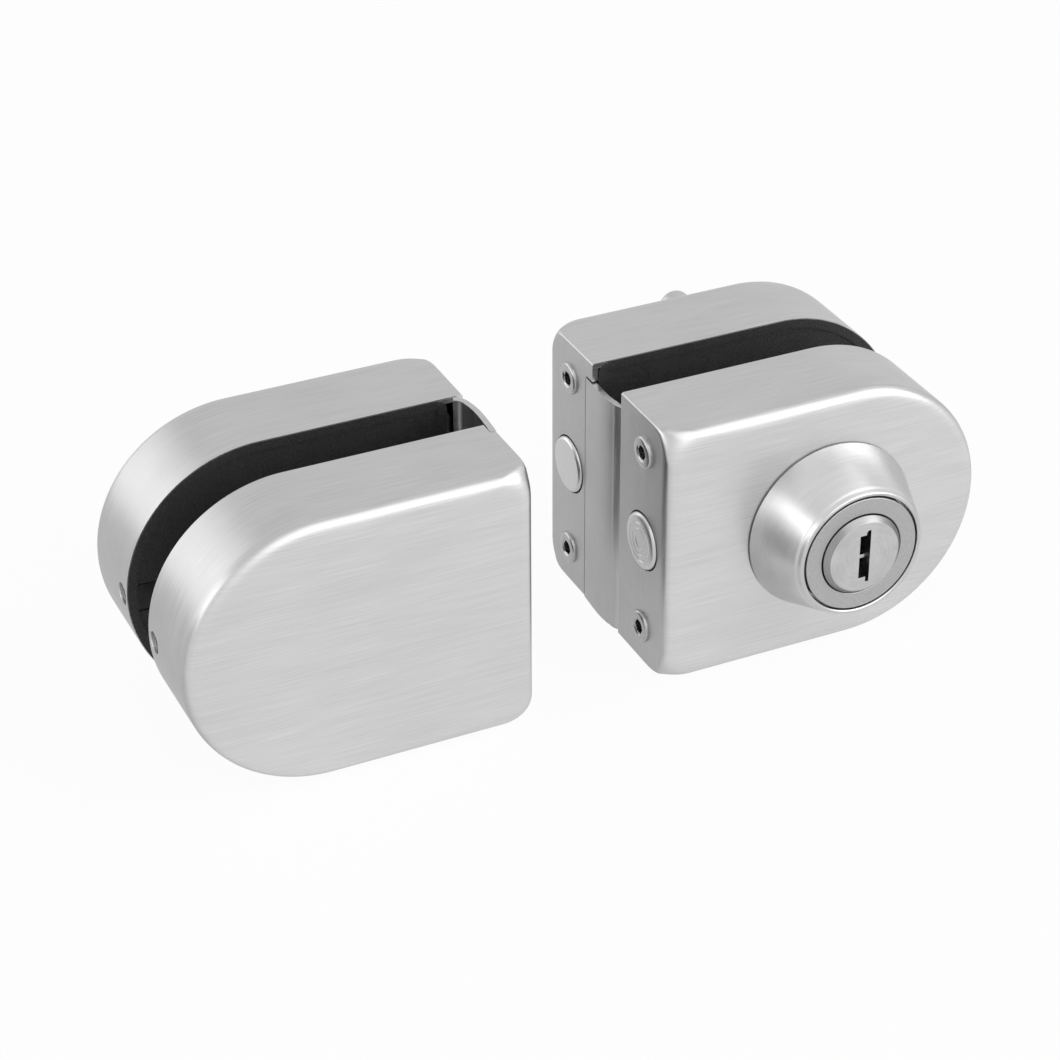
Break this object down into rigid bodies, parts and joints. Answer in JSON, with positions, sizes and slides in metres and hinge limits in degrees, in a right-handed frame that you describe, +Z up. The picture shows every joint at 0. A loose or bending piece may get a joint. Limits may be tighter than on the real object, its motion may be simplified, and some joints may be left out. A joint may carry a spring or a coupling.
{
  "type": "glass door lock",
  "caption": "Surface lock and keeper for a pair of frameless glass doors, with a key cylinder in front, a thumbturn behind and round bolts that a quarter turn throws.",
  "frame": {"origin": "midway between the meeting edges of the two halves, on the middle plane of the glass, level with the bottom faces", "axes": "+X across the doors towards the lock half, -Y towards the side with the key cylinder, +Z up"},
  "size_m": [0.165, 0.0805, 0.055],
  "materials": {
    "satin_steel": "satin, brushed along the door",
    "turned_steel": "satin, turned",
    "cylinder_nickel": "matt nickel plate",
    "bolt_steel": "faced and nickel plated",
    "plated_steel": "bright nickel plate",
    "cast_zinc": "as cast",
    "pad_rubber": "fine moulded texture",
    "wafer_brass": "stamped"
  },
  "bodies": {
    "root": {"lock_front_cover": "satin_steel", "lock_rear_cover": "satin_steel", "lock_front_block": "cast_zinc", "lock_rear_block": "cast_zinc", "lock_front_pad": "pad_rubber", "lock_rear_pad": "pad_rubber", "lock_edge_strip": "satin_steel", "lock_edge_screws": "plated_steel", "lock_end_screws": "plated_steel", "lock_clamp_screws": "plated_steel", "cylinder_plate": "cast_zinc", "thumbturn_plate": "cast_zinc", "plate_screws": "plated_steel", "cylinder_collar": "turned_steel", "cylinder_housing": "cylinder_nickel", "cylinder_clip": "plated_steel", "thumbturn_rose": "turned_steel", "keeper_front_cover": "satin_steel", "keeper_rear_cover": "satin_steel", "keeper_front_block": "cast_zinc", "keeper_rear_block": "cast_zinc", "keeper_front_pad": "pad_rubber", "keeper_rear_pad": "pad_rubber", "keeper_edge_strip": "satin_steel", "keeper_edge_screws": "plated_steel", "keeper_end_screws": "plated_steel", "keeper_clamp_screws": "plated_steel"},
    "plug": {"cylinder_plug": "cylinder_nickel", "wafers": "wafer_brass", "plug_crank": "plated_steel", "plug_crank_screw": "plated_steel"},
    "front_bolt": {"front_bolt": "bolt_steel"},
    "thumbturn": {"thumbturn_knob": "turned_steel", "thumbturn_set_screw": "plated_steel", "thumbturn_spindle": "bolt_steel", "spindle_clip": "plated_steel", "spindle_crank": "plated_steel", "spindle_crank_screw": "plated_steel"},
    "rear_bolt": {"rear_bolt": "bolt_steel"}
  },
  "joints": [
    {"name": "key_turn", "type": "hinge", "parent": "root", "child": "plug", "pos_m": [0.0491, -0.0395, 0.0275], "axis": [0, -1, 0], "range_deg": [0, 90]},
    {"name": "front_bolt_slide", "type": "slide", "parent": "root", "child": "front_bolt", "axis": [-1, 0, 0], "range_m": [0, 0.01]},
    {"name": "thumb_turn", "type": "hinge", "parent": "root", "child": "thumbturn", "pos_m": [0.0491, 0.0383, 0.0275], "axis": [0, -1, 0], "range_deg": [0, 90]},
    {"name": "rear_bolt_slide", "type": "slide", "parent": "root", "child": "rear_bolt", "axis": [-1, 0, 0], "range_m": [0, 0.01]}
  ],
  "couplings": [
    {"joint": "key_turn", "follows": "front_bolt_slide", "rad_per_m": 157.08},
    {"joint": "thumb_turn", "follows": "rear_bolt_slide", "rad_per_m": 157.08}
  ]
}
